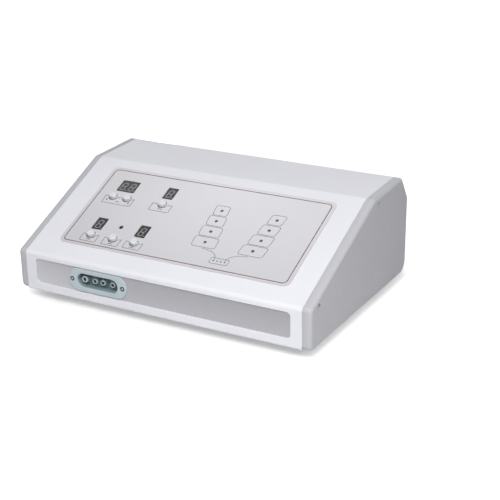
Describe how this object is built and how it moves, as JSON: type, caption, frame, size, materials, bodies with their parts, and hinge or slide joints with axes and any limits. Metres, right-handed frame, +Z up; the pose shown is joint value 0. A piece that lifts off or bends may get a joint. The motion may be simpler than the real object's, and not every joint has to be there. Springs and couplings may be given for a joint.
{
  "type": "compression therapy pump",
  "caption": "Table-top compression therapy pump with a sloping button and display panel and a four-way air connector in its front.",
  "frame": {"origin": "middle of the footprint on the surface that the feet stand on", "axes": "+X to the right along the front, +Y from the front to the rear, +Z up"},
  "size_m": [0.4, 0.27, 0.1399],
  "materials": {
    "cover_white": "satin powder coat",
    "tray_steel": "zinc plated",
    "cheek_grey": "fine texture",
    "strip_silver": "satin",
    "plate_teal": "satin",
    "block_dark": "matte",
    "nozzle_cream": "satin",
    "tube_clear": "smooth",
    "panel_grey": "matte film",
    "display_grey": "gloss",
    "lamp_red": "clear, unlit",
    "button_white": "satin",
    "black_plastic": "matte",
    "board_green": "solder mask",
    "screw_steel": "nickel plated",
    "screw_black": "blackened",
    "foot_rubber": "matte",
    "core_steel": "laminated, varnished",
    "winding_copper": "enamelled wire",
    "lead_brown": "smooth",
    "ribbon_grey": "smooth",
    "fuse_glass": "clear with metal caps",
    "pump_silver": "die cast",
    "distributor_cream": "matte"
  },
  "bodies": {
    "casing": {"top_cover": "cover_white", "base_chassis": "tray_steel", "rear_panel": "cheek_grey", "left_cheek": "cheek_grey", "right_cheek": "cheek_grey", "cheek_screws": "screw_black", "casing_screws": "screw_steel", "foot_front_left": "foot_rubber", "foot_front_right": "foot_rubber", "foot_rear_left": "foot_rubber", "foot_rear_right": "foot_rubber", "front_strip": "strip_silver", "connector_plate": "plate_teal", "connector_block": "block_dark", "connector_screws": "screw_steel", "large_nozzle": "nozzle_cream", "small_nozzles": "nozzle_cream", "air_tubes": "tube_clear", "control_label": "panel_grey", "display_board": "board_green", "display_pair": "display_grey", "display_upper": "display_grey", "display_left": "display_grey", "display_right": "display_grey", "status_led": "lamp_red", "button_switches": "black_plastic", "board_spacers": "screw_steel", "small_screws": "screw_steel", "main_board": "board_green", "ribbon_cable": "ribbon_grey", "transformer_core": "core_steel", "transformer_winding": "winding_copper", "mains_leads": "lead_brown", "power_inlet": "black_plastic", "switch_housing": "black_plastic", "fan_frame": "black_plastic", "fan_guard": "screw_steel", "pump_case": "pump_silver", "pump_lid": "pump_silver", "pump_coil": "winding_copper", "diaphragm_left": "foot_rubber", "diaphragm_right": "foot_rubber", "pump_head_left": "pump_silver", "pump_head_right": "pump_silver", "pump_isolators": "foot_rubber", "distributor_body": "distributor_cream", "distributor_motor": "tray_steel"},
    "button_minus": {"button_minus": "button_white"},
    "button_plus": {"button_plus": "button_white"},
    "button_upper": {"button_upper": "button_white"},
    "button_left": {"button_left": "button_white"},
    "button_middle": {"button_middle": "button_white"},
    "button_right": {"button_right": "button_white"},
    "rocker": {"power_rocker": "black_plastic"},
    "drawer": {"fuse_drawer": "black_plastic", "fuses": "fuse_glass"},
    "fan_wheel": {"fan_rotor": "black_plastic"},
    "arm_left": {"pump_arm_left": "core_steel"},
    "arm_right": {"pump_arm_right": "core_steel"},
    "distributor_disc": {"distributor_rotor": "nozzle_cream"}
  },
  "joints": [
    {"name": "button_minus_press", "type": "slide", "parent": "casing", "child": "button_minus", "axis": [0, 0.4117, -0.9113], "range_m": [0, 0.0012], "stiffness_N_per_m": 500},
    {"name": "button_plus_press", "type": "slide", "parent": "casing", "child": "button_plus", "axis": [0, 0.4117, -0.9113], "range_m": [0, 0.0012], "stiffness_N_per_m": 500},
    {"name": "button_upper_press", "type": "slide", "parent": "casing", "child": "button_upper", "axis": [0, 0.4117, -0.9113], "range_m": [0, 0.0012], "stiffness_N_per_m": 500},
    {"name": "button_left_press", "type": "slide", "parent": "casing", "child": "button_left", "axis": [0, 0.4117, -0.9113], "range_m": [0, 0.0012], "stiffness_N_per_m": 500},
    {"name": "button_middle_press", "type": "slide", "parent": "casing", "child": "button_middle", "axis": [0, 0.4117, -0.9113], "range_m": [0, 0.0012], "stiffness_N_per_m": 500},
    {"name": "button_right_press", "type": "slide", "parent": "casing", "child": "button_right", "axis": [0, 0.4117, -0.9113], "range_m": [0, 0.0012], "stiffness_N_per_m": 500},
    {"name": "rocker_tilt", "type": "hinge", "parent": "casing", "child": "rocker", "pos_m": [0.112, 0.12901, 0.073], "axis": [1, 0, 0], "range_deg": [0, 16]},
    {"name": "drawer_slide", "type": "slide", "parent": "casing", "child": "drawer", "axis": [0, 1, 0], "range_m": [0, 0.016]},
    {"name": "fan_spin", "type": "hinge", "parent": "casing", "child": "fan_wheel", "pos_m": [0.04, 0.12401, 0.073], "axis": [0, 1, 0], "continuous": true},
    {"name": "arm_left_swing", "type": "hinge", "parent": "casing", "child": "arm_left", "pos_m": [-0.1302, 0.09371, 0.0495], "axis": [0, 0, 1], "range_deg": [-1.5, 1.5], "stiffness_Nm_per_rad": 15},
    {"name": "arm_right_swing", "type": "hinge", "parent": "casing", "child": "arm_right", "pos_m": [-0.0358, 0.09371, 0.0495], "axis": [0, 0, 1], "range_deg": [-1.5, 1.5], "stiffness_Nm_per_rad": 15},
    {"name": "distributor_turn", "type": "hinge", "parent": "casing", "child": "distributor_disc", "pos_m": [-0.083, -0.03829, 0.05], "axis": [0, 0, 1], "continuous": true}
  ],
  "couplings": [
    {"joint": "arm_right_swing", "follows": "arm_left_swing", "ratio": -1}
  ]
}
